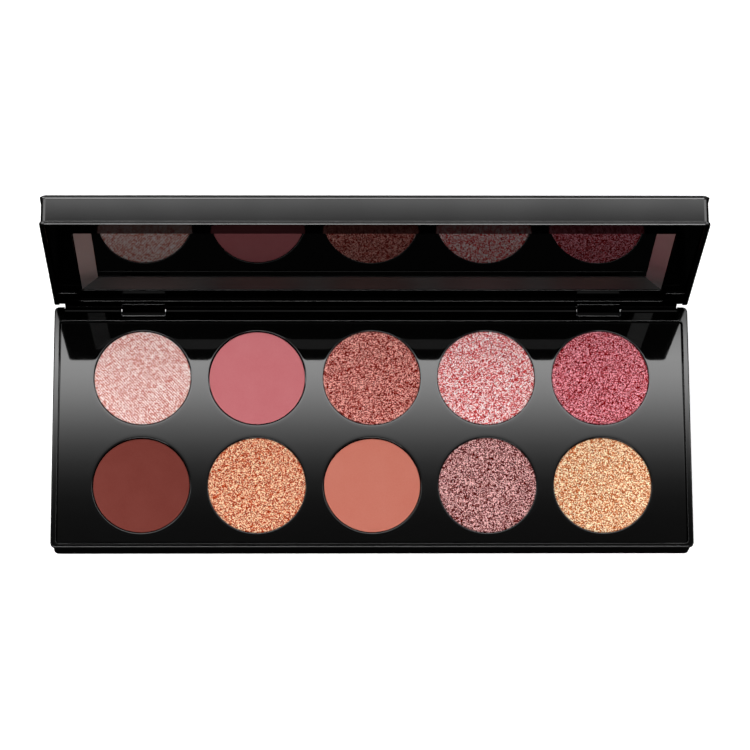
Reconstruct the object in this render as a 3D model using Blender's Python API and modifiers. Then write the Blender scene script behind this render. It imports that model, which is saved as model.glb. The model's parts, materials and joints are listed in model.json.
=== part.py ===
"""Eyeshadow palette: a hinged two-shell case with ten round pans and a bevelled mirror.

Metres, +Z up. +X runs along the hinge, +Y towards the hinge, and the origin is the centre of
the underside. The lid's pieces are modelled shut, measured from the hinge axis, and hang on an
empty that stands on that axis and turns them open.
"""
import math

import bmesh
import bpy

MM = 0.001
CLEARANCE = 0.3 * MM

# ---- driving dimensions of the case ----
CASE_WIDTH = 180.0 * MM
CASE_DEPTH = 70.0 * MM
BASE_HEIGHT = 11.0 * MM
LID_HEIGHT = 8.5 * MM
LID_OPEN_ANGLE = 92.5
CORNER_RADIUS = 1.3 * MM
CORNER_SEGMENTS = 3
RIM_WIDTH = 1.5 * MM
FRONT_RIM_WIDTH = 1.1 * MM
BAND_INSET = 0.45 * MM
FLANGE_SLOPE = 2.0 * MM
FLANGE_SHOULDER = 0.35
BASE_FLANGE = 1.0 * MM
LID_RIM_FLANGE = 0.8 * MM
LID_TOP_FLANGE = 0.6 * MM
LID_BAND_INSET = 0.35 * MM
LID_SLOPE = 0.5 * MM
STEP_HEIGHT = 0.2 * MM
EDGE_BREAK = 0.25 * MM

HALF_WIDTH = CASE_WIDTH / 2
FRONT = -CASE_DEPTH / 2
REAR = CASE_DEPTH / 2
RIM_Z = BASE_HEIGHT

# ---- hinge ----
HINGE_INSET = 1.7 * MM
HINGE_Y = REAR - HINGE_INSET
HINGE_Z = RIM_Z - HINGE_INSET
KNUCKLE_RADIUS = 1.5 * MM
KNUCKLE_FACETS = 5
KNUCKLE_INNER_X = 58.7 * MM
KNUCKLE_OUTER_X = 70.8 * MM
KNUCKLE_CLEARANCE = 0.25 * MM
PIN_RADIUS = 0.75 * MM
PIN_BORE_RADIUS = 0.84 * MM
PIN_INNER_X = 52.0 * MM
PIN_OUTER_X = 88.4 * MM
EAR_WIDTH = 2.9 * MM
PIN_SEGMENTS = 24

# ---- base interior ----
FLOOR = 1.6 * MM
HINGE_STRIP_FRONT = 30.9 * MM
LEDGE_Z = RIM_Z - 2.3 * MM
RECESS_CORNER = 1.0 * MM
WELL_CORNER = 2.0 * MM
WELL_HALF_WIDTH = 86.5 * MM
WELL_FRONT = -31.9 * MM
WELL_REAR = 29.3 * MM

# ---- tray and pans ----
TRAY_TOP = RIM_Z - 0.6 * MM
TRAY_THICKNESS = 1.4 * MM
TRAY_CORNER = 0.8 * MM
COLUMNS = 5
COLUMN_PITCH = 32.4 * MM
ROW_Y = (14.3 * MM, -17.0 * MM)
POCKET_RADIUS = 13.95 * MM
POCKET_DEPTH = 3.8 * MM
POCKET_WALL = 0.6 * MM
POCKET_FLOOR = 1.0 * MM
EJECT_HOLE_RADIUS = 1.5 * MM
EJECT_SEGMENTS = 12
PAN_RADIUS = 13.6 * MM
PAN_WALL = 0.3 * MM
PAN_RIM_DROP = 0.65 * MM
GLUE_RADIUS = 9.0 * MM
GLUE_INNER_RADIUS = 2.5 * MM
CAKE_RADIUS = 13.0 * MM
CAKE_DROP = 0.35 * MM
CAKE_EDGE = 0.3 * MM
CROWN_EDGE = 0.4 * MM
CROWN_SHOULDER = (0.6, 0.7)
ROUND_SEGMENTS = 32
GLUE_SEGMENTS = 16

# ---- magnets ----
MAGNET_RADIUS = 2.5 * MM
MAGNET_HEIGHT = 1.6 * MM
MAGNET_X = COLUMN_PITCH * 1.5
MAGNET_Y = -28.3 * MM
LID_MAGNET_Y = -29.4 * MM
MAGNET_BOSS_WALL = 0.9 * MM
MAGNET_SKIN = 1.1 * MM
MAGNET_SEGMENTS = 20

# ---- lid interior, heights measured from the lid's rim ----
LID_PLATE = 1.5 * MM
FRAME_DROP = 0.9 * MM
FRAME_HALF_WIDTH = 88.2 * MM
FRAME_FRONT = -33.6 * MM
FRAME_REAR = 28.8 * MM
FRAME_NOTCH_X = 82.7 * MM
FRAME_NOTCH_Y = 22.2 * MM
FRAME_CORNER = 0.8 * MM
FRAME_SKIN = 1.6 * MM
FRAME_WALL = 1.4 * MM
WINDOW_HALF_WIDTH = 81.8 * MM
WINDOW_FRONT = -25.3 * MM
WINDOW_REAR = 20.7 * MM
RAIL_DROP = 0.5 * MM
MIRROR_DROP = 3.0 * MM
MIRROR_THICKNESS = 1.8 * MM
MIRROR_BEVEL_WIDTH = 6.5 * MM
MIRROR_BEVEL_RISE = 1.9 * MM
HINGE_GAP_LENGTH = 4.05 * MM
HINGE_GAP_DEPTH = 1.6 * MM
KNUCKLE_ROOT = 0.7 * MM
TAPE_MARGIN = 4.0 * MM
TAPE_CORNER = 1.0 * MM

# ---- underside label ----
LABEL_HALF_WIDTH = 52.0 * MM
LABEL_FRONT = 4.0 * MM
LABEL_REAR = 28.0 * MM
LABEL_RECESS = 0.8 * MM
LABEL_THICKNESS = 0.3 * MM
LABEL_CORNER = 2.0 * MM

# Shade name, colour, roughness, and how far the cake's crown stands above its edge.
SHADES = (
    ("pale_pink_satin", (0.66, 0.40, 0.37), 0.45, 0.25 * MM),
    ("rose_matte", (0.56, 0.165, 0.180), 0.90, 0.0),
    ("copper_glitter", (0.41, 0.125, 0.100), 0.45, 0.45 * MM),
    ("pink_gold_glitter", (0.62, 0.27, 0.26), 0.45, 0.45 * MM),
    ("crimson_glitter", (0.45, 0.09, 0.115), 0.45, 0.45 * MM),
    ("brick_matte", (0.180, 0.040, 0.029), 0.90, 0.0),
    ("orange_gold_glitter", (0.66, 0.28, 0.165), 0.45, 0.45 * MM),
    ("terracotta_matte", (0.58, 0.18, 0.13), 0.90, 0.0),
    ("mauve_glitter", (0.36, 0.145, 0.140), 0.45, 0.45 * MM),
    ("champagne_glitter", (0.73, 0.38, 0.225), 0.45, 0.45 * MM),
)


# ---------------------------------------------------------------- scene and materials
def clear_scene():
    for obj in list(bpy.data.objects):
        bpy.data.objects.remove(obj, do_unlink=True)


def new_collection(name):
    collection = bpy.data.collections.new(name)
    bpy.context.scene.collection.children.link(collection)
    return collection


def make_material(name, colour, roughness, metallic=0.0):
    material = bpy.data.materials.new(name)
    material.use_nodes = True
    shader = material.node_tree.nodes["Principled BSDF"]
    shader.inputs["Base Color"].default_value = (*colour, 1.0)
    shader.inputs["Roughness"].default_value = roughness
    shader.inputs["Metallic"].default_value = metallic
    return material


# ---------------------------------------------------------------- making shapes
def add_object(name, bm, material, collection, parent=None, smooth_angle=None):
    mesh = bpy.data.meshes.new(name)
    bm.to_mesh(mesh)
    bm.free()
    if material:
        mesh.materials.append(material)
    if smooth_angle:
        mesh.shade_smooth()
        mesh.set_sharp_from_angle(angle=math.radians(smooth_angle))
    obj = bpy.data.objects.new(name, mesh)
    collection.objects.link(obj)
    obj.parent = parent
    return obj


def box_bmesh(low, high, corner=0.0):
    """A box between two corners, with its four upright edges rounded by corner."""
    bm = bmesh.new()
    bmesh.ops.create_cube(bm, size=1.0)
    for vert in bm.verts:
        for axis in range(3):
            middle = (low[axis] + high[axis]) / 2
            vert.co[axis] = middle + vert.co[axis] * (high[axis] - low[axis])
    if corner:
        upright = [e for e in bm.edges if abs(e.verts[0].co.z - e.verts[1].co.z) > EDGE_BREAK]
        bmesh.ops.bevel(bm, geom=upright, offset=corner, segments=CORNER_SEGMENTS,
                        profile=0.5, affect="EDGES")
    return bm


def moulded_wall_bmesh(low, high, levels):
    """A rounded box whose outline steps inwards: levels are (height above low, inset)."""
    bm = box_bmesh(low, high, CORNER_RADIUS)
    for height, _ in levels[1:-1]:
        geometry = bm.verts[:] + bm.edges[:] + bm.faces[:]
        bmesh.ops.bisect_plane(bm, geom=geometry, plane_co=(0, 0, low[2] + height),
                               plane_no=(0, 0, 1))
    middle_y = (low[1] + high[1]) / 2
    half = (high[0], (high[1] - low[1]) / 2)
    for vert in bm.verts:
        height = vert.co.z - low[2]
        inset = min(levels, key=lambda level: abs(level[0] - height))[1]
        vert.co.x *= (half[0] - inset) / half[0]
        vert.co.y = middle_y + (vert.co.y - middle_y) * (half[1] - inset) / half[1]
    return bm


def drawn_bmesh(points, axis, distance):
    """A flat outline drawn out by distance along an axis, 0 for X or 2 for Z."""
    bm = bmesh.new()
    face = bm.faces.new([bm.verts.new(point) for point in points])
    drawn = bmesh.ops.extrude_face_region(bm, geom=[face])
    for item in drawn["geom"]:
        if isinstance(item, bmesh.types.BMVert):
            item.co[axis] += distance
    if bm.calc_volume(signed=True) < 0:
        bmesh.ops.reverse_faces(bm, faces=bm.faces[:])
    return bm


def prism_bmesh(outline, x_low, x_high):
    """An outline of (y, z) points drawn out along X."""
    return drawn_bmesh([(x_low, y, z) for y, z in outline], 0, x_high - x_low)


def disc_bmesh(radius, z_low, z_high, centre=(0.0, 0.0), segments=ROUND_SEGMENTS):
    bm = bmesh.new()
    bmesh.ops.create_cone(bm, cap_ends=True, segments=segments, radius1=radius, radius2=radius,
                          depth=z_high - z_low)
    bmesh.ops.translate(bm, vec=(*centre, (z_low + z_high) / 2), verts=bm.verts)
    return bm


def rod_bmesh(radius, x_low, x_high, y, z, segments=PIN_SEGMENTS):
    """A cylinder along X through (y, z)."""
    bm = disc_bmesh(radius, x_low, x_high, segments=segments)
    for vert in bm.verts:
        across, up, along = vert.co
        vert.co = (along, y + across, z + up)
    return bm


def arc(centre, radius, start, end, steps):
    """Points of an arc about centre; angles in degrees, from +Y towards +Z."""
    points = []
    for index in range(steps + 1):
        angle = math.radians(start + (end - start) * index / steps)
        points.append((centre[0] + radius * math.cos(angle), centre[1] + radius * math.sin(angle)))
    return points


def add_turned(name, profile, location, material, collection, segments=ROUND_SEGMENTS):
    """A profile of (radius, z) points turned about Z; it ends running down its outer side."""
    bm = bmesh.new()
    verts = [bm.verts.new((radius, 0, z)) for radius, z in profile]
    for first, second in zip(verts, verts[1:]):
        bm.edges.new((first, second))
    mesh = bpy.data.meshes.new(name)
    bm.to_mesh(mesh)
    bm.free()
    mesh.materials.append(material)
    obj = bpy.data.objects.new(name, mesh)
    collection.objects.link(obj)
    obj.location = location
    screw = obj.modifiers.new("turn", "SCREW")
    screw.angle = math.tau
    screw.steps = segments
    screw.render_steps = segments
    screw.use_merge_vertices = True
    screw.merge_threshold = 0.00001
    return obj


def combine(target, tool, operation):
    """Cut with or join a tool, which stays in the file as a wire guide."""
    tool.hide_render = True
    tool.display_type = "WIRE"
    step = target.modifiers.new(tool.name, "BOOLEAN")
    step.operation = operation
    step.solver = "EXACT"
    step.object = tool


def cut(target, tool):
    combine(target, tool, "DIFFERENCE")


def join(target, tool):
    combine(target, tool, "UNION")


# ---------------------------------------------------------------- places shared by several pieces
def pan_centres():
    """Centres of the ten pans, back row first, left to right."""
    centres = []
    for y in ROW_Y:
        for column in range(COLUMNS):
            centres.append(((column - (COLUMNS - 1) / 2) * COLUMN_PITCH, y))
    return centres


def lid_z(height):
    """A height above the shut lid's rim, measured from the hinge axis."""
    return RIM_Z + CLEARANCE + height - HINGE_Z


def lid_y(y):
    """A place on the shut lid, measured from the hinge axis."""
    return y - HINGE_Y


# ---------------------------------------------------------------- base
def base_body(parts):
    flange_z = RIM_Z - BASE_FLANGE
    levels = (
        (0.0, BAND_INSET + 3 * EDGE_BREAK),
        (EDGE_BREAK, BAND_INSET + EDGE_BREAK),
        (3 * EDGE_BREAK, BAND_INSET),
        (flange_z - FLANGE_SLOPE, BAND_INSET),
        (flange_z - FLANGE_SLOPE / 2, FLANGE_SHOULDER * BAND_INSET),
        (flange_z, 0.0),
        (RIM_Z - EDGE_BREAK, 0.0),
        (RIM_Z, EDGE_BREAK),
    )
    low = (-HALF_WIDTH, FRONT, 0.0)
    high = (HALF_WIDTH, REAR, RIM_Z)
    return add_object("base_shell", moulded_wall_bmesh(low, high, levels), MATERIALS["case"],
                      parts, smooth_angle=30)


def hollow_base(shell, tools):
    recess = box_bmesh((-HALF_WIDTH + RIM_WIDTH, FRONT + FRONT_RIM_WIDTH, LEDGE_Z),
                       (HALF_WIDTH - RIM_WIDTH, HINGE_STRIP_FRONT, RIM_Z + MM), RECESS_CORNER)
    cut(shell, add_object("cut_tray_recess", recess, None, tools))
    well = box_bmesh((-WELL_HALF_WIDTH, WELL_FRONT, FLOOR),
                     (WELL_HALF_WIDTH, WELL_REAR, LEDGE_Z + MM), WELL_CORNER)
    cut(shell, add_object("cut_well", well, None, tools))
    label = box_bmesh((-LABEL_HALF_WIDTH, LABEL_FRONT, -MM),
                      (LABEL_HALF_WIDTH, LABEL_REAR, LABEL_RECESS), LABEL_CORNER)
    cut(shell, add_object("cut_label", label, None, tools))


def add_magnet_bosses(shell, tools):
    seat_z = magnet_seat_z()
    for side in (-1, 1):
        place = (side * MAGNET_X, MAGNET_Y)
        boss = disc_bmesh(MAGNET_RADIUS + MAGNET_BOSS_WALL, FLOOR / 2, seat_z + MAGNET_HEIGHT,
                          place, MAGNET_SEGMENTS)
        join(shell, add_object("boss_%d" % side, boss, None, tools))
        pocket = disc_bmesh(MAGNET_RADIUS + CLEARANCE, seat_z - CLEARANCE, RIM_Z, place,
                            MAGNET_SEGMENTS)
        cut(shell, add_object("cut_magnet_%d" % side, pocket, None, tools))


def magnet_seat_z():
    return TRAY_TOP - TRAY_THICKNESS - CLEARANCE - MAGNET_HEIGHT


def shape_hinge_strip(shell, tools):
    """Rounds the strip's rear edge about the axis between the ears, and opens the knuckle slots."""
    axis = (HINGE_Y, HINGE_Z)
    outline = arc(axis, HINGE_INSET, 90, 0, 8)
    outline += [(REAR + MM, HINGE_Z), (REAR + MM, RIM_Z + MM), (HINGE_Y, RIM_Z + MM)]
    half = HALF_WIDTH - EAR_WIDTH
    rounding = prism_bmesh(outline, -half, half)
    cut(shell, add_object("cut_strip_rounding", rounding, None, tools))
    reach = KNUCKLE_RADIUS + KNUCKLE_CLEARANCE
    for side in (-1, 1):
        ends = sorted((side * (KNUCKLE_INNER_X - CLEARANCE), side * (KNUCKLE_OUTER_X + CLEARANCE)))
        slot = box_bmesh((ends[0], HINGE_Y - reach, HINGE_Z - reach),
                         (ends[1], REAR + MM, RIM_Z + MM))
        cut(shell, add_object("cut_slot_%d" % side, slot, None, tools))
        ends = sorted((side * (PIN_INNER_X - CLEARANCE), side * (HALF_WIDTH + MM)))
        bore = rod_bmesh(PIN_BORE_RADIUS, ends[0], ends[1], HINGE_Y, HINGE_Z)
        cut(shell, add_object("cut_pin_bore_%d" % side, bore, None, tools))


def add_label(parts):
    edge = CLEARANCE
    low = (-LABEL_HALF_WIDTH + edge, LABEL_FRONT + edge, LABEL_RECESS - edge - LABEL_THICKNESS)
    high = (LABEL_HALF_WIDTH - edge, LABEL_REAR - edge, LABEL_RECESS - edge)
    label = box_bmesh(low, high, LABEL_CORNER - edge)
    add_object("underside_label", label, MATERIALS["label"], parts)


def add_hinge_pins(parts):
    for name, side in (("hinge_pin_left", -1), ("hinge_pin_right", 1)):
        ends = sorted((side * PIN_INNER_X, side * PIN_OUTER_X))
        pin = rod_bmesh(PIN_RADIUS, ends[0], ends[1], HINGE_Y, HINGE_Z)
        add_object(name, pin, MATERIALS["pin"], parts, smooth_angle=30)


def add_base_magnets(parts):
    seat_z = magnet_seat_z()
    for name, side in (("base_magnet_left", -1), ("base_magnet_right", 1)):
        magnet = disc_bmesh(MAGNET_RADIUS, seat_z, seat_z + MAGNET_HEIGHT - CLEARANCE,
                            (side * MAGNET_X, MAGNET_Y), MAGNET_SEGMENTS)
        add_object(name, magnet, MATERIALS["magnet"], parts, smooth_angle=30)


# ---------------------------------------------------------------- tray and what it holds
def add_tray(parts, tools):
    low = (-HALF_WIDTH + RIM_WIDTH + CLEARANCE, FRONT + FRONT_RIM_WIDTH + CLEARANCE,
           TRAY_TOP - TRAY_THICKNESS)
    high = (-low[0], HINGE_STRIP_FRONT - CLEARANCE, TRAY_TOP)
    bm = box_bmesh(low, high, TRAY_CORNER)
    top_edges = [e for e in bm.edges if all(abs(v.co.z - TRAY_TOP) < EDGE_BREAK for v in e.verts)]
    bmesh.ops.bevel(bm, geom=top_edges, offset=EDGE_BREAK, segments=1, affect="EDGES")
    tray = add_object("pan_tray", bm, MATERIALS["tray"], parts, smooth_angle=30)
    pocket_floor = TRAY_TOP - POCKET_DEPTH
    for index, centre in enumerate(pan_centres(), 1):
        cup = disc_bmesh(POCKET_RADIUS + POCKET_WALL, pocket_floor - POCKET_FLOOR,
                         TRAY_TOP - TRAY_THICKNESS / 2, centre)
        join(tray, add_object("cup_%02d" % index, cup, None, tools))
    for index, centre in enumerate(pan_centres(), 1):
        pocket = disc_bmesh(POCKET_RADIUS, pocket_floor, RIM_Z, centre)
        cut(tray, add_object("cut_pocket_%02d" % index, pocket, None, tools))
        eject = disc_bmesh(EJECT_HOLE_RADIUS, FLOOR, pocket_floor + MM, centre, EJECT_SEGMENTS)
        cut(tray, add_object("cut_eject_%02d" % index, eject, None, tools))


def add_pans(parts):
    """Pressed cups, each with its ring of glue below and its powder cake inside."""
    glue_z = TRAY_TOP - POCKET_DEPTH + CLEARANCE
    glue_top = glue_z + CLEARANCE
    pan_z = glue_top + CLEARANCE
    pan_floor = pan_z + PAN_WALL
    rim_z = TRAY_TOP - PAN_RIM_DROP
    cake_z = pan_floor + CLEARANCE
    inner = PAN_RADIUS - PAN_WALL
    glue = ((GLUE_INNER_RADIUS, glue_z), (GLUE_INNER_RADIUS, glue_top), (GLUE_RADIUS, glue_top),
            (GLUE_RADIUS, glue_z), (GLUE_INNER_RADIUS, glue_z))
    cup = ((0, pan_floor), (inner, pan_floor), (inner, rim_z), (PAN_RADIUS, rim_z),
           (PAN_RADIUS, pan_z), (0, pan_z))
    for index, (x, y) in enumerate(pan_centres(), 1):
        place = (x, y, 0)
        add_turned("pan_glue_%02d" % index, glue, place, MATERIALS["glue"], parts,
                   GLUE_SEGMENTS)
        add_turned("pan_%02d" % index, cup, place, MATERIALS["pan"], parts)
        name, _, _, crown = SHADES[index - 1]
        add_turned("powder_cake_%02d" % index, cake_profile(crown, cake_z), place,
                   MATERIALS[name], parts)


def cake_profile(crown, cake_z):
    """Section of a powder cake: flat with a broken edge, or raised to a crown at its middle."""
    edge_z = TRAY_TOP - CAKE_DROP
    side = ((CAKE_RADIUS, edge_z - CAKE_EDGE), (CAKE_RADIUS, cake_z), (0, cake_z))
    if not crown:
        return ((0, edge_z), (CAKE_RADIUS - CAKE_EDGE, edge_z)) + side
    reach, rise = CROWN_SHOULDER
    return ((0, edge_z + crown), (CAKE_RADIUS * reach, edge_z + crown * rise),
            (CAKE_RADIUS - CROWN_EDGE, edge_z)) + side


# ---------------------------------------------------------------- lid
def lid_body(parts, pivot):
    flange_z = LID_HEIGHT - LID_TOP_FLANGE
    levels = (
        (0.0, EDGE_BREAK),
        (EDGE_BREAK, 0.0),
        (LID_RIM_FLANGE, 0.0),
        (LID_RIM_FLANGE + STEP_HEIGHT, LID_BAND_INSET),
        (flange_z - LID_SLOPE, LID_BAND_INSET),
        (flange_z - LID_SLOPE / 2, FLANGE_SHOULDER * LID_BAND_INSET),
        (flange_z, 0.0),
        (LID_HEIGHT - 2 * EDGE_BREAK, 0.0),
        (LID_HEIGHT, 2 * EDGE_BREAK),
    )
    low = (-HALF_WIDTH, lid_y(FRONT), lid_z(0))
    high = (HALF_WIDTH, lid_y(REAR), lid_z(LID_HEIGHT))
    return add_object("lid_shell", moulded_wall_bmesh(low, high, levels), MATERIALS["case"],
                      parts, pivot, smooth_angle=30)


def notched_plate_bmesh(margin, z_low, z_high):
    """The mirror frame's outline, grown by margin: a plate with its two rear corners cut out."""
    wide = FRAME_HALF_WIDTH + margin
    narrow = FRAME_NOTCH_X + margin
    front = lid_y(FRAME_FRONT - margin)
    notch = lid_y(FRAME_NOTCH_Y + margin)
    rear = lid_y(FRAME_REAR + margin)
    outline = ((-wide, front), (wide, front), (wide, notch), (narrow, notch), (narrow, rear),
               (-narrow, rear), (-narrow, notch), (-wide, notch))
    bm = drawn_bmesh([(x, y, z_low) for x, y in outline], 2, z_high - z_low)
    upright = [e for e in bm.edges if abs(e.verts[0].co.z - e.verts[1].co.z) > EDGE_BREAK]
    bmesh.ops.bevel(bm, geom=upright, offset=FRAME_CORNER, segments=CORNER_SEGMENTS,
                    profile=0.5, affect="EDGES")
    return bm


def hollow_lid(shell, pivot, tools):
    well = notched_plate_bmesh(CLEARANCE, lid_z(-MM), lid_z(LID_HEIGHT - LID_PLATE))
    cut(shell, add_object("cut_lid_well", well, None, tools, pivot))
    rail = box_bmesh((-FRAME_HALF_WIDTH - CLEARANCE, lid_y(0), lid_z(-MM)),
                     (FRAME_HALF_WIDTH + CLEARANCE, lid_y(REAR - RIM_WIDTH), lid_z(RAIL_DROP)))
    cut(shell, add_object("cut_rail", rail, None, tools, pivot))
    for side in (-1, 1):
        ends = sorted((side * (HALF_WIDTH - EAR_WIDTH), side * (HALF_WIDTH + MM)))
        gap = box_bmesh((ends[0], lid_y(REAR - HINGE_GAP_LENGTH), lid_z(-MM)),
                        (ends[1], lid_y(REAR + MM), lid_z(HINGE_GAP_DEPTH)))
        cut(shell, add_object("cut_hinge_gap_%d" % side, gap, None, tools, pivot))


def add_knuckles(shell, pivot, tools):
    """Two lugs that reach down from the lid's rear wall and wrap round the pins."""
    top = lid_z(KNUCKLE_ROOT)
    outline = arc((0, 0), KNUCKLE_RADIUS, 180, 360, KNUCKLE_FACETS)
    outline += [(KNUCKLE_RADIUS, top), (-KNUCKLE_RADIUS, top)]
    for side in (-1, 1):
        ends = sorted((side * KNUCKLE_INNER_X, side * KNUCKLE_OUTER_X))
        lug = prism_bmesh(outline, ends[0], ends[1])
        join(shell, add_object("lug_%d" % side, lug, None, tools, pivot))
        bore = rod_bmesh(PIN_BORE_RADIUS, ends[0] - MM, ends[1] + MM, 0, 0)
        cut(shell, add_object("cut_lug_bore_%d" % side, bore, None, tools, pivot))


def lid_magnet_z():
    """Low face of the lid's magnets, behind the frame's front skin."""
    return lid_z(FRAME_DROP + MAGNET_SKIN + CLEARANCE)


def add_mirror_frame(parts, pivot, tools):
    bottom = lid_z(FRAME_DROP)
    top = lid_z(LID_HEIGHT - LID_PLATE - CLEARANCE)
    bm = notched_plate_bmesh(0.0, bottom, top)
    frame = add_object("mirror_frame", bm, MATERIALS["frame"], parts, pivot, smooth_angle=30)
    window = box_bmesh((-WINDOW_HALF_WIDTH, lid_y(WINDOW_FRONT), bottom - MM),
                       (WINDOW_HALF_WIDTH, lid_y(WINDOW_REAR), top + MM), FRAME_CORNER)
    cut(frame, add_object("cut_window", window, None, tools, pivot))
    for side in (-1, 1):
        pocket = disc_bmesh(MAGNET_RADIUS + CLEARANCE, lid_magnet_z() - CLEARANCE, top + MM,
                            (side * MAGNET_X, lid_y(LID_MAGNET_Y)), MAGNET_SEGMENTS)
        cut(frame, add_object("cut_lid_magnet_%d" % side, pocket, None, tools, pivot))
    lighten_frame(frame, pivot, tools, bottom + FRAME_SKIN, top + MM)


def lighten_frame(frame, pivot, tools, z_low, z_high):
    """Open channels in the back of the frame's borders, between the magnets' bosses."""
    wall = FRAME_WALL
    boss = MAGNET_RADIUS + CLEARANCE + wall
    inner = MAGNET_X - boss
    outer = MAGNET_X + boss
    front = (lid_y(FRAME_FRONT + wall), lid_y(WINDOW_FRONT - wall))
    rear = (lid_y(WINDOW_REAR + wall), lid_y(FRAME_REAR - wall))
    end = FRAME_NOTCH_X - 2 * wall
    spans = ((-end, -outer, front), (-inner, inner, front), (outer, end, front), (-end, end, rear))
    for index, (x_low, x_high, (y_low, y_high)) in enumerate(spans, 1):
        channel = box_bmesh((x_low, y_low, z_low), (x_high, y_high, z_high), FRAME_CORNER)
        cut(frame, add_object("cut_channel_%d" % index, channel, None, tools, pivot))


def add_lid_magnets(parts, pivot):
    z_low = lid_magnet_z()
    for name, side in (("lid_magnet_left", -1), ("lid_magnet_right", 1)):
        magnet = disc_bmesh(MAGNET_RADIUS, z_low, z_low + MAGNET_HEIGHT,
                            (side * MAGNET_X, lid_y(LID_MAGNET_Y)), MAGNET_SEGMENTS)
        add_object(name, magnet, MATERIALS["magnet"], parts, pivot, smooth_angle=30)


def add_mirror(parts, pivot):
    """Moulded mirror plate, its front face rising to the edges in a wide mitred bevel."""
    face_z = lid_z(MIRROR_DROP)
    low = (-WINDOW_HALF_WIDTH + CLEARANCE, lid_y(WINDOW_FRONT + CLEARANCE), face_z)
    high = (-low[0], lid_y(WINDOW_REAR - CLEARANCE), face_z + MIRROR_THICKNESS)
    bm = box_bmesh(low, high)
    face = min(bm.faces, key=lambda item: item.calc_center_median().z)
    bmesh.ops.inset_region(bm, faces=[face], thickness=MIRROR_BEVEL_WIDTH)
    flat = set(face.verts)
    for vert in bm.verts:
        if vert.co.z < face_z + EDGE_BREAK and vert not in flat:
            vert.co.z -= MIRROR_BEVEL_RISE
    add_object("mirror", bm, MATERIALS["mirror"], parts, pivot)


def add_mirror_tape(parts, pivot):
    margin = TAPE_MARGIN
    z_low = lid_z(MIRROR_DROP) + MIRROR_THICKNESS + CLEARANCE
    z_high = lid_z(LID_HEIGHT - LID_PLATE) - CLEARANCE
    low = (-WINDOW_HALF_WIDTH + margin, lid_y(WINDOW_FRONT + margin), z_low)
    high = (WINDOW_HALF_WIDTH - margin, lid_y(WINDOW_REAR - margin), z_high)
    add_object("mirror_tape", box_bmesh(low, high, TAPE_CORNER), MATERIALS["tape"], parts,
               pivot)


# ---------------------------------------------------------------- assembly
clear_scene()
PARTS = new_collection("eyeshadow_palette")
TOOLS = new_collection("cutters")

MATERIALS = {
    "case": make_material("case_black", (0.006, 0.006, 0.006), 0.08),
    "tray": make_material("tray_black", (0.005, 0.005, 0.005), 0.04),
    "frame": make_material("frame_black", (0.004, 0.004, 0.004), 0.05),
    "pan": make_material("pan_tinplate", (0.03, 0.03, 0.03), 0.4, 1.0),
    "glue": make_material("pan_glue", (0.75, 0.72, 0.62), 0.5),
    "mirror": make_material("mirror_glass", (0.85, 0.87, 0.88), 0.02, 1.0),
    "tape": make_material("foam_tape", (0.85, 0.85, 0.83), 0.9),
    "magnet": make_material("magnet_nickel", (0.6, 0.6, 0.6), 0.3, 1.0),
    "pin": make_material("hinge_pin_steel", (0.6, 0.6, 0.6), 0.25, 1.0),
    "label": make_material("label_vinyl", (0.02, 0.02, 0.02), 0.5),
}
for shade, shade_colour, shade_roughness, _ in SHADES:
    MATERIALS[shade] = make_material(shade, shade_colour, shade_roughness)

base = base_body(PARTS)
hollow_base(base, TOOLS)
add_magnet_bosses(base, TOOLS)
shape_hinge_strip(base, TOOLS)
add_label(PARTS)
add_hinge_pins(PARTS)
add_base_magnets(PARTS)
add_tray(PARTS, TOOLS)
add_pans(PARTS)

lid_pivot = bpy.data.objects.new("lid_pivot", None)
PARTS.objects.link(lid_pivot)
lid_pivot.location = (0, HINGE_Y, HINGE_Z)
lid_pivot.rotation_euler.x = -math.radians(LID_OPEN_ANGLE)

lid = lid_body(PARTS, lid_pivot)
hollow_lid(lid, lid_pivot, TOOLS)
add_knuckles(lid, lid_pivot, TOOLS)
add_mirror_frame(PARTS, lid_pivot, TOOLS)
add_lid_magnets(PARTS, lid_pivot)
add_mirror(PARTS, lid_pivot)
add_mirror_tape(PARTS, lid_pivot)
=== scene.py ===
"""Looks of the eyeshadow palette: finished materials on the case, and detailed tray, pans and powders.

Metres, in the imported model's own frame: +X along the hinge, +Y towards it, +Z up.
"""

import json
import math

import bmesh
import bpy
from mathutils import Matrix, Vector, noise


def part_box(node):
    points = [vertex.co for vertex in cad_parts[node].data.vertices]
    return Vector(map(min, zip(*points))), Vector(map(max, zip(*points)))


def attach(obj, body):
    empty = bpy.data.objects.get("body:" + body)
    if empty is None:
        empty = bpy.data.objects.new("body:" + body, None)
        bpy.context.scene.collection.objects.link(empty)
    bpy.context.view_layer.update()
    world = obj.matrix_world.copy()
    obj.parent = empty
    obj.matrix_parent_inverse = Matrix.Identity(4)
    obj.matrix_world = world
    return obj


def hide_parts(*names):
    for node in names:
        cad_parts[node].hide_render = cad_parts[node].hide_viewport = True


MM = 0.001

# ---- camera: where it stands, what it looks at, and its lens in millimetres ----
CAMERA_PLACE = Vector((-0.018, -0.26917, 1.03399))
CAMERA_TARGET = Vector((0.0, 0.00095, 0.0613))
CAMERA_LENS = 180.1

# ---- studio ----
FLOOR_SIZE = 6.0
GLOSS_PANEL_HEIGHT = 350 * MM
GLOSS_PANEL_WIDTH = 1.2
GLOSS_PANEL_FRONT = 20 * MM
GLOSS_PANEL_REAR = 220 * MM
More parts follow.
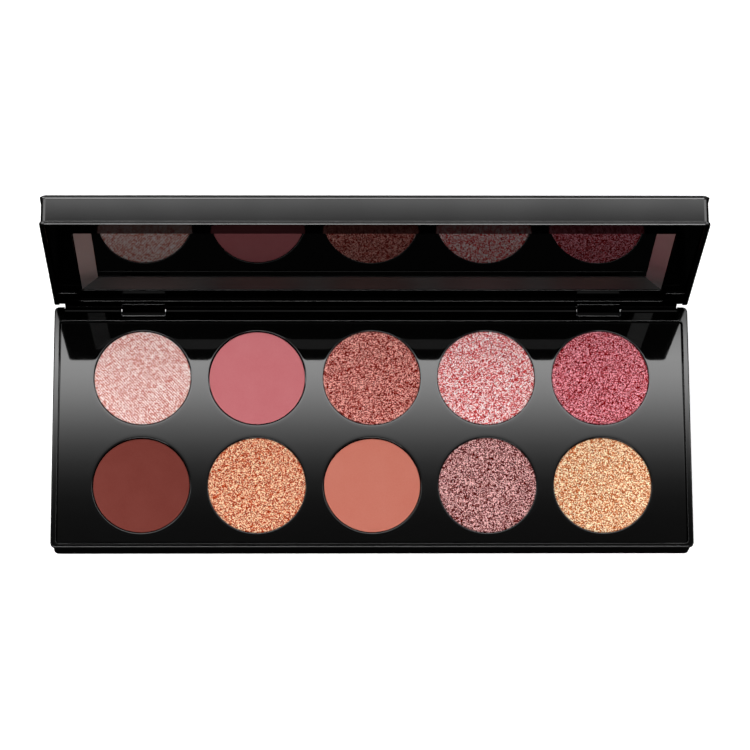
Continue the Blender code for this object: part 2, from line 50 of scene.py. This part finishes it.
# Two soft strips of light lie across the panel: a bell, softer on its front side, and behind it
# a strip that fades in. Places are along Y, brightnesses are radiances.
GLOW = 0.08
FRONT_STRIP = 118 * MM
FRONT_STRIP_BRIGHTNESS = 6.6
FRONT_STRIP_SOFTNESS = (19 * MM, 11 * MM)
REAR_STRIP_FADE = (149 * MM, 172 * MM)
REAR_STRIP_BRIGHTNESS = 4.0
PANEL_RAMP_STEPS = 30
# Area lights: place, size across and in depth, and radiance.
KEY_LIGHT = ((-0.25, -0.95, 0.80), 1.2, 0.6, 9.0)
BACK_LIGHT = ((0, 1.1, 0.65), 1.8, 0.5, 5.0)
EDGE_LIGHT = ((0, 1.1, 0.65), 1.8, 0.5, 24.0)
# Grey of the surroundings, from straight down (0) to straight up (1).
SURROUNDINGS = ((0.0, 0.02), (0.44, 0.05), (0.52, 0.6), (0.7, 0.4), (0.9, 0.3), (1.0, 0.05))
FLOOR_GLOW = 0.5

# A face of the mirror is a bevel when its normal leans this far: along X at the sides, along Z
# at the top and the bottom of the open lid.
BEVEL_LEANS = (0.1, 0.6)

# ---- tray ----
HOLE_SEGMENTS = 96
HOLE_FILLET = 0.15 * MM
ROLL_OFF_WIDTH = 1.0 * MM
ROLL_OFF_DROP = 0.006 * MM
ROLL_OFF_REACH = 0.3 * MM
POCKET_CLEARANCE = 0.2 * MM
TRAY_FILLET = 0.25 * MM
TRAY_CORNER = 0.8 * MM
TRAY_PLATE = 1.4 * MM
CUP_WALL = 0.6 * MM
GLUE_GAP = 0.3 * MM
EJECT_RADIUS = 1.5 * MM

# ---- pans and cakes ----
PAN_WALL = 0.3 * MM
PAN_FOOT = 0.5 * MM
CAKE_NECK_GAP = 0.35 * MM
CAKE_BELOW_TRAY = 0.33 * MM
CAKE_LIP = 0.02 * MM
CAKE_LIP_DROP = 0.05 * MM

# ---- powders: name, finish, colour, and the powers of it that its dark and bright grains have; the bright grains are painted glints on glitter and painted sheen on satin ----
SHADES = (
    ("pale_pink_satin", "satin", (0.72, 0.35, 0.30), 2.0, 0.15),
    ("rose_matte", "matte", (0.565, 0.165, 0.181), 1.06, 0.95),
    ("copper_glitter", "glitter", (0.45, 0.054, 0.038), 1.9, 0.38),
    ("pink_gold_glitter", "glitter", (0.80, 0.16, 0.16), 1.9, 0.2),
    ("crimson_glitter", "glitter", (0.53, 0.026, 0.043), 2.2, 0.34),
    ("brick_matte", "matte", (0.175, 0.037, 0.028), 1.06, 0.95),
    ("orange_gold_glitter", "glitter", (0.72, 0.18, 0.055), 1.9, 0.35),
    ("terracotta_matte", "matte", (0.578, 0.181, 0.130), 1.06, 0.95),
    ("mauve_glitter", "glitter", (0.25, 0.023, 0.021), 1.6, 0.24),
    ("champagne_glitter", "glitter", (0.74, 0.29, 0.10), 1.7, 0.36),
)
PANS = range(1, len(SHADES) + 1)
RIB_SPACING = 0.6 * MM
RIB_SLANT = 43


# ---------------------------------------------------------------- node trees
def add_node(tree, kind, inputs=None, **settings):
    """Adds a node; an input's value is either a constant or another node's output."""
    node = tree.nodes.new(kind)
    for key, value in settings.items():
        setattr(node, key, value)
    for key, value in (inputs or {}).items():
        if isinstance(value, bpy.types.NodeSocket):
            tree.links.new(value, node.inputs[key])
        else:
            node.inputs[key].default_value = value
    return node


def new_material(name, **constants):
    """A material with one Principled shader, and the constants that are the same all over it."""
    material = bpy.data.materials.new(name)
    material.use_nodes = True
    shader = material.node_tree.nodes["Principled BSDF"]
    for key, value in constants.items():
        shader.inputs[key.replace("_", " ")].default_value = value
    return material, material.node_tree, shader


def add_ramp(tree, factor, stops):
    ramp = add_node(tree, "ShaderNodeValToRGB", {"Fac": factor})
    elements = ramp.color_ramp.elements
    while len(elements) < len(stops):
        elements.new(1.0)
    for element, (place, colour) in zip(elements, stops):
        element.position = place
        element.color = (*colour, 1.0)
    return ramp.outputs["Color"]


def add_noise(tree, place, scale, detail=2.0, roughness=0.5):
    inputs = {"Vector": place, "Scale": scale, "Detail": detail, "Roughness": roughness}
    return add_node(tree, "ShaderNodeTexNoise", inputs).outputs["Fac"]


def add_range(tree, value, low, high):
    inputs = {"Value": value, "To Min": low, "To Max": high}
    return add_node(tree, "ShaderNodeMapRange", inputs).outputs["Result"]


def add_bump(tree, height, strength, distance, normal=None):
    inputs = {"Height": height, "Strength": strength, "Distance": distance}
    if normal:
        inputs["Normal"] = normal
    return add_node(tree, "ShaderNodeBump", inputs).outputs["Normal"]


def object_place(tree, stretch=(1.0, 1.0, 1.0), turn=0.0):
    """The point's own place on the object, turned about Z and then stretched."""
    place = add_node(tree, "ShaderNodeTexCoord").outputs["Object"]
    inputs = {"Vector": place, "Rotation": (0.0, 0.0, turn), "Scale": [1.0 / s for s in stretch]}
    return add_node(tree, "ShaderNodeMapping", inputs, vector_type="TEXTURE").outputs["Vector"]


# ---------------------------------------------------------------- materials
def polished_black(name, roughness, edge_radius=0.0):
    """Dark mirror-polished plastic: faint flow waves, fine wipe marks and softly rounded edges.

    It is made as a 4 % mirror whose edge tint keeps glancing reflections weak.
    """
    material, tree, shader = new_material(name, Metallic=1.0)
    shader.inputs["Specular Tint"].default_value = (0.42, 0.42, 0.42, 1.0)
    place = object_place(tree)
    tone = add_noise(tree, place, 60.0)
    stops = ((0.3, (0.037,) * 3), (0.7, (0.043,) * 3))
    tree.links.new(add_ramp(tree, tone, stops), shader.inputs["Base Color"])
    wipe = add_noise(tree, object_place(tree, (1.0, 8.0, 8.0)), 400.0, 4.0, 0.7)
    tree.links.new(add_range(tree, wipe, roughness * 0.7, roughness * 1.4), shader.inputs["Roughness"])
    add_finish_waves(tree, shader, place, edge_radius)
    return material


def add_finish_waves(tree, shader, place, edge_radius):
    """Faint waves of the moulding in the normal, over edges rounded by edge_radius."""
    rounded = None
    if edge_radius:
        rounded = add_node(tree, "ShaderNodeBevel", {"Radius": edge_radius}, samples=6).outputs["Normal"]
    waves = add_noise(tree, place, 25.0, 1.0)
    tree.links.new(add_bump(tree, waves, 0.15, 0.02 * MM, rounded), shader.inputs["Normal"])


def lacquered_black(name, roughness):
    """Black plastic under a clear coat, which mirrors strongly at a low angle."""
    material, tree, shader = new_material(name, IOR=1.5)
    place = object_place(tree)
    tone = add_noise(tree, place, 60.0)
    tree.links.new(add_ramp(tree, tone, ((0.3, (0.0008,) * 3), (0.7, (0.0012,) * 3))),
                   shader.inputs["Base Color"])
    wipe = add_noise(tree, place, 400.0, 4.0, 0.7)
    tree.links.new(add_range(tree, wipe, roughness * 0.7, roughness * 1.4), shader.inputs["Roughness"])
    add_finish_waves(tree, shader, place, 0.0)
    return material


def darkened_mirror_silver(name, low, high):
    """Silvering, far darker than real silver and with a black edge tint that keeps the reflection dim at
    grazing angles: painted shade standing in for the dimmer light on what the mirror shows.
    """
    material, tree, shader = new_material(name, Metallic=1.0)
    shader.inputs["Specular Tint"].default_value = (0.0, 0.0, 0.0, 1.0)
    haze = add_noise(tree, object_place(tree, (1.0, 1.0, 9.0)), 90.0, 3.0)
    stops = ((0.3, (0.375, 0.38, 0.38)), (0.7, (0.39, 0.39, 0.385)))
    tree.links.new(add_ramp(tree, haze, stops), shader.inputs["Base Color"])
    tree.links.new(add_range(tree, haze, low, high), shader.inputs["Roughness"])
    return material


def finish_bevels(mirror_node, sides, ends):
    """Gives the plate's sloping borders finishes of their own."""
    mesh = mirror_node.data
    mesh.materials.append(sides)
    mesh.materials.append(ends)
    for polygon in mesh.polygons:
        if BEVEL_LEANS[0] < abs(polygon.normal.x) < BEVEL_LEANS[1]:
            polygon.material_index = 1
        elif BEVEL_LEANS[0] < abs(polygon.normal.z) < BEVEL_LEANS[1]:
            polygon.material_index = 2


def brushed_metal(name, colour, roughness):
    material, tree, shader = new_material(name, Metallic=1.0)
    grain = add_noise(tree, object_place(tree, (1.0, 30.0, 30.0)), 900.0, 3.0)
    stops = ((0.2, tuple(c * 0.85 for c in colour)), (0.8, tuple(min(1.0, c * 1.1) for c in colour)))
    tree.links.new(add_ramp(tree, grain, stops), shader.inputs["Base Color"])
    tree.links.new(add_range(tree, grain, roughness * 0.7, roughness * 1.3), shader.inputs["Roughness"])
    tree.links.new(add_bump(tree, grain, 0.3, 0.01 * MM), shader.inputs["Normal"])
    return material


def grained(name, colour, roughness, grain_size, depth, spread=0.12):
    """A dull surface with small grains, such as film, foam or glue."""
    material, tree, shader = new_material(name)
    grain = add_noise(tree, object_place(tree), 1.0 / grain_size, 3.0, 0.6)
    stops = ((0.3, tuple(c * (1 - spread) for c in colour)), (0.7, tuple(c * (1 + spread) for c in colour)))
    tree.links.new(add_ramp(tree, grain, stops), shader.inputs["Base Color"])
    tree.links.new(add_range(tree, grain, roughness * 0.9, roughness), shader.inputs["Roughness"])
    tree.links.new(add_bump(tree, grain, 0.6, depth), shader.inputs["Normal"])
    return material


def matte_powder(name, dark, middle, bright):
    """Pressed matte powder: fine grains and faint clouds of tone."""
    material, tree, shader = new_material(name, Roughness=0.92, Specular_IOR_Level=0.08)
    place = object_place(tree)
    grain = add_noise(tree, place, 5200.0, 3.0, 0.65)
    cloud = add_noise(tree, place, 140.0, 3.0)
    mixed = add_node(tree, "ShaderNodeMix", {"Factor": 0.35, "A": grain, "B": cloud}).outputs["Result"]
    stops = ((0.35, dark), (0.5, middle), (0.65, bright))
    tree.links.new(add_ramp(tree, mixed, stops), shader.inputs["Base Color"])
    tree.links.new(add_bump(tree, grain, 0.35, 0.02 * MM), shader.inputs["Normal"])
    return material


def flake_cells(tree, place, scale):
    """Random numbers for each flake: a tone from 0 to 1, and a colour used as a tilt."""
    cells = add_node(tree, "ShaderNodeTexVoronoi", {"Vector": place, "Scale": scale})
    parts = add_node(tree, "ShaderNodeSeparateColor", {"Color": cells.outputs["Color"]})
    return parts.outputs["Red"], cells.outputs["Color"]


def tilted_normal(tree, random_colour, tilt):
    """The surface normal, tipped a different way on each flake."""
    centred = add_node(tree, "ShaderNodeVectorMath", {0: random_colour, 1: (0.5, 0.5, 0.5)},
                       operation="SUBTRACT").outputs["Vector"]
    scaled = add_node(tree, "ShaderNodeVectorMath", {0: centred, "Scale": tilt},
                      operation="SCALE").outputs["Vector"]
    normal = add_node(tree, "ShaderNodeNewGeometry").outputs["Normal"]
    tipped = add_node(tree, "ShaderNodeVectorMath", {0: normal, 1: scaled},
                      operation="ADD").outputs["Vector"]
    return add_node(tree, "ShaderNodeVectorMath", {0: tipped}, operation="NORMALIZE").outputs["Vector"]


def glitter_powder(name, dark, middle, bright):
    """Pressed glitter: flakes of every tone, each tipped its own way, in a coloured binder; the tone differs
    at random from flake to flake, and the lightest flakes, brightened towards white, are painted glints.
    """
    material, tree, shader = new_material(name, Roughness=0.45, Metallic=0.15, Specular_IOR_Level=0.0)
    place = object_place(tree)
    tone, random_colour = flake_cells(tree, place, 4200.0)
    fine_tone, _ = flake_cells(tree, place, 7000.0)
    mixed = add_node(tree, "ShaderNodeMix", {"Factor": 0.3, "A": tone, "B": fine_tone}).outputs["Result"]
    # Tone differs at random from flake to flake; the two top stops, near white, are painted glints, as the
    # shader's plain specular is turned off.
    stops = ((0.15, tuple(c * 0.3 for c in dark)), (0.43, dark), (0.53, middle), (0.63, bright),
             (0.83, tuple(min(1.0, c * 1.5) for c in bright)))
    tree.links.new(add_ramp(tree, mixed, stops), shader.inputs["Base Color"])
    tree.links.new(tilted_normal(tree, random_colour, 0.55), shader.inputs["Normal"])
    return material


def satin_powder(name, dark, middle, bright):
    """Pressed satin powder: the fine slanting ribs of its press cloth are painted into its colour as light
    and dark stripes (painted highlight and painted shade, with no rib relief in the shape or the normal),
    mixed with streaks, and its pearl is painted as near-white grains (painted sheen).
    """
    material, tree, shader = new_material(name, Roughness=0.5, Metallic=0.15, Specular_IOR_Level=0.15)
    slant = math.radians(RIB_SLANT)
    # The press cloth's ribs are not in the shape or the normal: this wave is painted into the colour as
    # stripes of painted highlight and painted shade.
    painted_rib_shading = add_node(tree, "ShaderNodeTexWave", {
        "Vector": object_place(tree, turn=slant), "Scale": math.tau / 20 / RIB_SPACING,
        "Distortion": 0.8, "Detail": 2.0, "Detail Scale": 0.7}).outputs["Fac"]
    streaks = add_noise(tree, object_place(tree, (4.0, 1.0, 1.0), slant), 2200.0, 2.0, 0.6)
    tone, random_colour = flake_cells(tree, object_place(tree), 3400.0)
    rib_shading_and_streaks = add_node(tree, "ShaderNodeMix", {"Factor": 0.6, "A": painted_rib_shading, "B": streaks}).outputs["Result"]
    mixed = add_node(tree, "ShaderNodeMix", {"Factor": 0.4, "A": rib_shading_and_streaks, "B": tone}).outputs["Result"]
    # The dark and bright stops give the ribs their painted shade and painted highlight; the bright colour,
    # near white, is also painted sheen on the grains.
    stops = ((0.40, dark), (0.5, middle), (0.60, bright))
    tree.links.new(add_ramp(tree, mixed, stops), shader.inputs["Base Color"])
    tree.links.new(tilted_normal(tree, random_colour, 0.3), shader.inputs["Normal"])
    return material


POWDERS = {"matte": matte_powder, "glitter": glitter_powder, "satin": satin_powder}


# ---------------------------------------------------------------- meshes
def add_piece(name, bm, material, body):
    """Closes the books on a bmesh: outward faces, an object, its material and its body."""
    bmesh.ops.recalc_face_normals(bm, faces=bm.faces[:])
    mesh = bpy.data.meshes.new(name)
    bm.to_mesh(mesh)
    bm.free()
    mesh.materials.append(material)
    obj = bpy.data.objects.new(name, mesh)
    bpy.context.scene.collection.objects.link(obj)
    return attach(obj, body)


def add_ring(bm, radius, z, centre):
    ring = []
    for index in range(HOLE_SEGMENTS):
        angle = math.tau * index / HOLE_SEGMENTS
        place = (centre.x + radius * math.cos(angle), centre.y + radius * math.sin(angle), z)
        ring.append(bm.verts.new(place))
    return ring


def add_rounded_rectangle(bm, low, high, corner, z, steps=6):
    """A loop of points round a rectangle with rounded corners."""
    loop = []
    corners = ((high.x, high.y, 0), (low.x, high.y, 90), (low.x, low.y, 180), (high.x, low.y, 270))
    for x, y, start in corners:
        centre_x = x - math.copysign(corner, x - (low.x + high.x) / 2)
        centre_y = y - math.copysign(corner, y - (low.y + high.y) / 2)
        for step in range(steps + 1):
            angle = math.radians(start + 90 * step / steps)
            place = (centre_x + corner * math.cos(angle), centre_y + corner * math.sin(angle), z)
            loop.append(bm.verts.new(place))
    return loop


def bridge(bm, first, second, smooth=True):
    """Quads between two loops of the same length."""
    count = len(first)
    for index in range(count):
        following = (index + 1) % count
        face = bm.faces.new((first[index], first[following], second[following], second[index]))
        face.smooth = smooth


def bridge_all(bm, loops, smooth=True):
    for first, second in zip(loops, loops[1:]):
        bridge(bm, first, second, smooth)


def cap(bm, loop):
    """A flat face over a loop."""
    return bm.faces.new(loop)


def loop_edges(bm, loop):
    """The edges round a loop, made where they don't exist yet."""
    edges = []
    for first, second in zip(loop, loop[1:] + loop[:1]):
        edges.append(bm.edges.get((first, second)) or bm.edges.new((first, second)))
    return edges


def fill_flat(bm, loops):
    """Flat triangles between an outer loop and the holes inside it."""
    edges = [edge for loop in loops for edge in loop_edges(bm, loop)]
    filled = bmesh.ops.triangle_fill(bm, use_beauty=True, use_dissolve=False, edges=edges)
    for item in filled["geom"]:
        if isinstance(item, bmesh.types.BMFace):
            item.smooth = False


def quarter_round(steps=5):
    """(across, down) pairs from 0 to 1 along a quarter circle, flat end first."""
    pairs = []
    for step in range(steps + 1):
        angle = math.radians(90 * step / steps)
        pairs.append((math.sin(angle), 1 - math.cos(angle)))
    return pairs


def node_centre(node):
    low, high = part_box(node)
    return (low + high) / 2


# ---------------------------------------------------------------- tray
def tray_hole(bm, centre, radius, top, floor):
    """One pocket: the plate rolls off towards it, turns down over a fillet and ends in a floor."""
    loops = []
    for step in range(6):
        reach = ROLL_OFF_WIDTH * (1 - step / 6)
        drop = ROLL_OFF_DROP * math.exp(-reach / ROLL_OFF_REACH) if step else 0.0
        loops.append(add_ring(bm, radius + HOLE_FILLET + reach, top - drop, centre))
    for across, down in quarter_round():
        z = top - ROLL_OFF_DROP - HOLE_FILLET * down
        loops.append(add_ring(bm, radius + HOLE_FILLET * (1 - across), z, centre))
    loops.append(add_ring(bm, radius, floor, centre))
    bridge_all(bm, loops)
    return loops[0], loops[-1]


def make_tray(material):
    """The pan tray, with its ten round pockets, their cups below and a hole in each floor."""
    low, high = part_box("pan_tray")
    pan_low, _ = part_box("pan_01")
    glue_low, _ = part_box("pan_glue_01")
    hole_radius = (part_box("pan_01")[1].x - pan_low.x) / 2 + POCKET_CLEARANCE
    floor = glue_low.z - GLUE_GAP
    plate_bottom = high.z - TRAY_PLATE
    cup_radius = hole_radius + CUP_WALL
    bm = bmesh.new()
    top_loops, under_loops = [], []
    for number in PANS:
        centre = node_centre("pan_%02d" % number)
        outer, bottom = tray_hole(bm, centre, hole_radius, high.z, floor)
        top_loops.append(outer)
        eject_top = add_ring(bm, EJECT_RADIUS, floor, centre)
        eject_bottom = add_ring(bm, EJECT_RADIUS, low.z, centre)
        cup_bottom = add_ring(bm, cup_radius, low.z, centre)
        cup_top = add_ring(bm, cup_radius, plate_bottom, centre)
        bridge(bm, bottom, eject_top, smooth=False)
        bridge_all(bm, (eject_top, eject_bottom))
        bridge(bm, eject_bottom, cup_bottom, smooth=False)
        bridge_all(bm, (cup_bottom, cup_top))
        under_loops.append(cup_top)
    sides = []
    for across, down in quarter_round():
        inset = Vector((TRAY_FILLET, TRAY_FILLET, 0)) * (1 - across)
        corner = TRAY_CORNER - TRAY_FILLET * (1 - across)
        z = high.z - TRAY_FILLET * down
        sides.append(add_rounded_rectangle(bm, low + inset, high - inset, corner, z))
    sides.append(add_rounded_rectangle(bm, low, high, TRAY_CORNER, plate_bottom))
    bridge_all(bm, sides)
    fill_flat(bm, [sides[0]] + top_loops)
    fill_flat(bm, [sides[-1]] + under_loops)
    tray = add_piece("tray_polished", bm, material, "base")
    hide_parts("pan_tray")


# ---------------------------------------------------------------- pans and cakes
def make_pan(number, material):
    """A pressed sheet cup with rounded rim and foot."""
    node = "pan_%02d" % number
    low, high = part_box(node)
    centre = node_centre(node)
    radius = (high.x - low.x) / 2
    foot_bulge = PAN_FOOT * 0.3
    profile = [(radius - PAN_FOOT, low.z), (radius - foot_bulge, low.z + foot_bulge),
               (radius, low.z + PAN_FOOT)]
    rim = PAN_WALL / 2
    for step in range(5):
        angle = math.radians(180 * step / 4)
        profile.append((radius - rim + rim * math.cos(angle), high.z - rim + rim * math.sin(angle)))
    profile += [(radius - PAN_WALL, low.z + PAN_FOOT),
                (radius - PAN_WALL - PAN_FOOT / 2, low.z + PAN_WALL)]
    bm = bmesh.new()
    loops = [add_ring(bm, r, z, centre) for r, z in profile]
    bridge_all(bm, loops)
    cap(bm, loops[0])
    cap(bm, loops[-1])
    pan = add_piece("pan_cup_%02d" % number, bm, material, "base")
    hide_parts(node)


def disc_point(a, b):
    """Maps a point of the square from -1 to 1 onto the unit disc, keeping areas even."""
    if a == 0 and b == 0:
        return 0.0, 0.0
    if abs(a) > abs(b):
        reach, angle = a, math.pi / 4 * b / a
    else:
        reach, angle = b, math.pi / 2 - math.pi / 4 * a / b
    return reach * math.cos(angle), reach * math.sin(angle)


# Each finish: grid steps across, radius, crown, relief height, relief grain, edge rounding.
FINISHES = {
    "matte": (56, 13.5 * MM, 0.0, 0.012 * MM, 1.2 * MM, 0.16 * MM),
    "satin": (80, 13.6 * MM, 0.22 * MM, 0.02 * MM, 0.6 * MM, 0.2 * MM),
    "glitter": (100, 13.75 * MM, 0.38 * MM, 0.05 * MM, 0.45 * MM, 0.25 * MM),
}


def make_cake(number, shade, finish, material):
    """A pressed cake: a fine grid for its top, and below it the side that sits in the pan."""
    node = "powder_cake_%02d" % number
    steps, radius, crown, relief, grain, rounding = FINISHES[finish]
    low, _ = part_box(node)
    pan_low, pan_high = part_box("pan_%02d" % number)
    centre = node_centre(node)
    edge_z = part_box("pan_tray")[1].z - CAKE_BELOW_TRAY
    inner = radius - rounding
    seed = Vector((number * 7.3, number * 3.1, number * 5.7))
    bm = bmesh.new()
    grid = {}
    for i in range(steps + 1):
        for j in range(steps + 1):
            x, y = disc_point(2 * i / steps - 1, 2 * j / steps - 1)
            reach = math.hypot(x, y)
            rise = crown * (1 - reach ** 2.5)
            place = Vector((x * inner / grain, y * inner / grain, 0)) + seed
            rise += relief * noise.noise(place) + relief * 0.6 * noise.noise(place * 2.3)
            grid[i, j] = bm.verts.new((centre.x + x * inner, centre.y + y * inner, edge_z + rise))
    for i in range(steps):
        for j in range(steps):
            face = bm.faces.new((grid[i, j], grid[i + 1, j], grid[i + 1, j + 1], grid[i, j + 1]))
            face.smooth = True
    rim = [(i, 0) for i in range(steps)] + [(steps, j) for j in range(steps)]
    rim += [(i, steps) for i in range(steps, 0, -1)] + [(0, j) for j in range(steps, 0, -1)]
    loops = [[grid[key] for key in rim]]
    neck = (pan_high.x - pan_low.x) / 2 - CAKE_NECK_GAP
    profile = [(inner + rounding * across, edge_z - rounding * down) for across, down in quarter_round(4)[1:]]
    lip_z = max(pan_high.z + CAKE_LIP, edge_z - rounding - CAKE_LIP_DROP)
    profile += [(radius, lip_z), (neck, lip_z), (neck, low.z)]
    for reach, z in profile:
        loop = []
        for vert in loops[0]:
            out = Vector((vert.co.x - centre.x, vert.co.y - centre.y, 0)).normalized()
            ragged = relief * noise.noise(out * radius / grain + seed) if z > lip_z else 0.0
            loop.append(bm.verts.new((centre.x + out.x * (reach + ragged),
                                      centre.y + out.y * (reach + ragged), z)))
        loops.append(loop)
    bridge_all(bm, loops)
    cap(bm, loops[-1])
    cake = add_piece("powder_%02d_%s" % (number, shade), bm, material, "base")
    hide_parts(node)


# ---------------------------------------------------------------- studio
def add_camera():
    forward = (CAMERA_TARGET - CAMERA_PLACE).normalized()
    right = (Vector((1, 0, 0)) - forward * forward.x).normalized()
    up = right.cross(forward)
    turn = Matrix((right, up, -forward)).transposed()
    camera = bpy.data.objects.new("camera", bpy.data.cameras.new("camera"))
    camera.data.lens = CAMERA_LENS
    camera.data.clip_start = 0.01
    camera.matrix_world = Matrix.Translation(CAMERA_PLACE) @ turn.to_4x4()
    bpy.context.scene.collection.objects.link(camera)
    bpy.context.scene.camera = camera


def add_area_light(name, place, width, depth, radiance):
    """A soft light that faces the palette."""
    data = bpy.data.lights.new(name, "AREA")
    data.shape = "RECTANGLE"
    data.size = width
    data.size_y = depth
    data.energy = radiance * math.pi * width * depth
    light = bpy.data.objects.new(name, data)
    light.location = place
    light.rotation_euler = (-Vector(place)).to_track_quat("-Z", "Y").to_euler()
    light.visible_camera = False
    bpy.context.scene.collection.objects.link(light)
    return light


def smooth_step(value, start, end):
    share = min(1.0, max(0.0, (value - start) / (end - start)))
    return share * share * (3 - 2 * share)


def panel_radiance(y):
    """How bright the panel is at a place along its depth."""
    front_softness, rear_softness = FRONT_STRIP_SOFTNESS
    softness = front_softness if y < FRONT_STRIP else rear_softness
    bell = math.exp(-((y - FRONT_STRIP) / softness) ** 2 / 2)
    rear = smooth_step(y, *REAR_STRIP_FADE)
    return GLOW + FRONT_STRIP_BRIGHTNESS * bell + REAR_STRIP_BRIGHTNESS * rear


def add_gloss_panel():
    """A graded panel above and behind the palette, seen only in its polished faces."""
    bpy.ops.mesh.primitive_plane_add(size=1.0)
    panel = bpy.context.object
    panel.name = "gloss_panel"
    depth = GLOSS_PANEL_REAR - GLOSS_PANEL_FRONT
    panel.scale = (GLOSS_PANEL_WIDTH, depth, 1.0)
    panel.location = (0, GLOSS_PANEL_FRONT + depth / 2, GLOSS_PANEL_HEIGHT)
    material = bpy.data.materials.new("gloss_panel")
    material.use_nodes = True
    tree = material.node_tree
    tree.nodes.clear()
    place = add_node(tree, "ShaderNodeTexCoord").outputs["Object"]
    along = add_node(tree, "ShaderNodeSeparateXYZ", {"Vector": place}).outputs["Y"]
    along = add_node(tree, "ShaderNodeMath", {0: along, 1: 0.5}, operation="ADD").outputs["Value"]
    places = [step / (PANEL_RAMP_STEPS - 1) for step in range(PANEL_RAMP_STEPS)]
    radiances = [panel_radiance(GLOSS_PANEL_FRONT + depth * place) for place in places]
    peak = max(radiances)
    stops = [(place, (radiance / peak,) * 3) for place, radiance in zip(places, radiances)]
    colour = add_ramp(tree, along, stops)
    emission = add_node(tree, "ShaderNodeEmission", {"Color": colour, "Strength": peak})
    output = add_node(tree, "ShaderNodeOutputMaterial")
    tree.links.new(emission.outputs["Emission"], output.inputs["Surface"])
    panel.data.materials.append(material)
    panel.visible_camera = False
    panel.visible_diffuse = False
    panel.visible_shadow = False


def add_floor():
    bpy.ops.mesh.primitive_plane_add(size=FLOOR_SIZE)
    floor = bpy.context.object
    floor.name = "floor"
    material, tree, shader = new_material("floor_pale", Roughness=0.9)
    tone = add_noise(tree, object_place(tree), 3.0)
    stops = ((0.3, (0.90, 0.90, 0.90)), (0.7, (0.93, 0.93, 0.93)))
    tree.links.new(add_ramp(tree, tone, stops), shader.inputs["Base Color"])
    shader.inputs["Emission Color"].default_value = (1.0, 1.0, 1.0, 1.0)
    shader.inputs["Emission Strength"].default_value = FLOOR_GLOW
    floor.data.materials.append(material)
    floor.visible_glossy = False


def add_world():
    """Pale surroundings: bright to the camera, and a soft gradient to everything else."""
    world = bpy.data.worlds.new("studio")
    world.use_nodes = True
    bpy.context.scene.world = world
    tree = world.node_tree
    tree.nodes.clear()
    direction = add_node(tree, "ShaderNodeTexCoord").outputs["Generated"]
    height = add_node(tree, "ShaderNodeSeparateXYZ", {"Vector": direction}).outputs["Z"]
    height = add_range(tree, height, 0.0, 1.0)
    height.node.inputs["From Min"].default_value = -1.0
    stops = [(place, (grey,) * 3) for place, grey in SURROUNDINGS]
    surroundings = add_node(tree, "ShaderNodeBackground", {"Color": add_ramp(tree, height, stops)})
    backdrop = add_node(tree, "ShaderNodeBackground", {"Color": (1.0, 1.0, 1.0, 1.0)})
    seen = add_node(tree, "ShaderNodeLightPath").outputs["Is Camera Ray"]
    mixed = add_node(tree, "ShaderNodeMixShader", {0: seen, 1: surroundings.outputs["Background"],
                                                   2: backdrop.outputs["Background"]})
    output = add_node(tree, "ShaderNodeOutputWorld")
    tree.links.new(mixed.outputs["Shader"], output.inputs["Surface"])


# ---------------------------------------------------------------- assembly
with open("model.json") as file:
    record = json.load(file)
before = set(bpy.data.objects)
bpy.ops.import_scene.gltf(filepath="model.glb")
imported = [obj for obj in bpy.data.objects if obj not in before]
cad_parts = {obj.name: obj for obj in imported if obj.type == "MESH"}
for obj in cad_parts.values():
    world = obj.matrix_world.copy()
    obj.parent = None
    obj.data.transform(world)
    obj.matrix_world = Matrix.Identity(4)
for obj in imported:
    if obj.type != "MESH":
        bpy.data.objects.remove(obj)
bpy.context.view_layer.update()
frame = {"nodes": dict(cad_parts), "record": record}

case_black = polished_black("case_black", 0.06, 0.25 * MM)
frame_black = polished_black("frame_black", 0.05, 0.2 * MM)
tray_black = lacquered_black("tray_black", 0.03)
pan_black = brushed_metal("pan_black", (0.03, 0.03, 0.03), 0.35)
steel = brushed_metal("pin_steel", (0.06, 0.06, 0.065), 0.3)
nickel = brushed_metal("magnet_nickel", (0.66, 0.65, 0.62), 0.3)
# The mirror's dark silver is painted shade in its reflections.
mirror = darkened_mirror_silver("darkened_mirror_silver", 0.008, 0.02)
mirror_bevel = darkened_mirror_silver("mirror_bevel", 0.3, 0.4)
mirror_ends = polished_black("mirror_ends", 0.35)
tape = grained("foam_tape", (0.80, 0.80, 0.78), 0.95, 0.6 * MM, 0.1 * MM)
glue = grained("set_glue", (0.72, 0.69, 0.60), 0.5, 1.5 * MM, 0.05 * MM)
label = grained("label_film", (0.02, 0.02, 0.02), 0.55, 0.3 * MM, 0.01 * MM)

CAD_FINISHES = {
    "case_black": case_black, "tray_black": tray_black, "frame_black": frame_black,
    "mirror_glass": mirror, "foam_tape": tape, "label_vinyl": label, "hinge_pin_steel": steel,
    "magnet_nickel": nickel, "pan_glue": glue, "pan_tinplate": pan_black,
}
for entry in frame["record"]["subparts"]:
    finish = CAD_FINISHES.get(entry["material_slot"])
    if finish:
        node = frame["nodes"][entry["node"]]
        node.data.materials.clear()
        node.data.materials.append(finish)

finish_bevels(frame["nodes"]["mirror"], mirror_bevel, mirror_ends)

make_tray(tray_black)
# On glitter and satin the bright grains made here are painted glints and painted sheen; on matte powder they
# are only lighter tone.
for number, (shade, finish, colour, depth, sparkle) in enumerate(SHADES, 1):
    dark = tuple(c ** depth for c in colour)
    bright = tuple(c ** sparkle for c in colour)
    make_pan(number, pan_black)
    make_cake(number, shade, finish, POWDERS[finish](shade, dark, colour, bright))

add_camera()
add_floor()
add_world()
add_gloss_panel()
add_area_light("key", *KEY_LIGHT)
add_area_light("back", *BACK_LIGHT)
edge_light = add_area_light("edge", *EDGE_LIGHT)
edge_light.visible_diffuse = False
bpy.context.scene.view_settings.view_transform = "Standard"
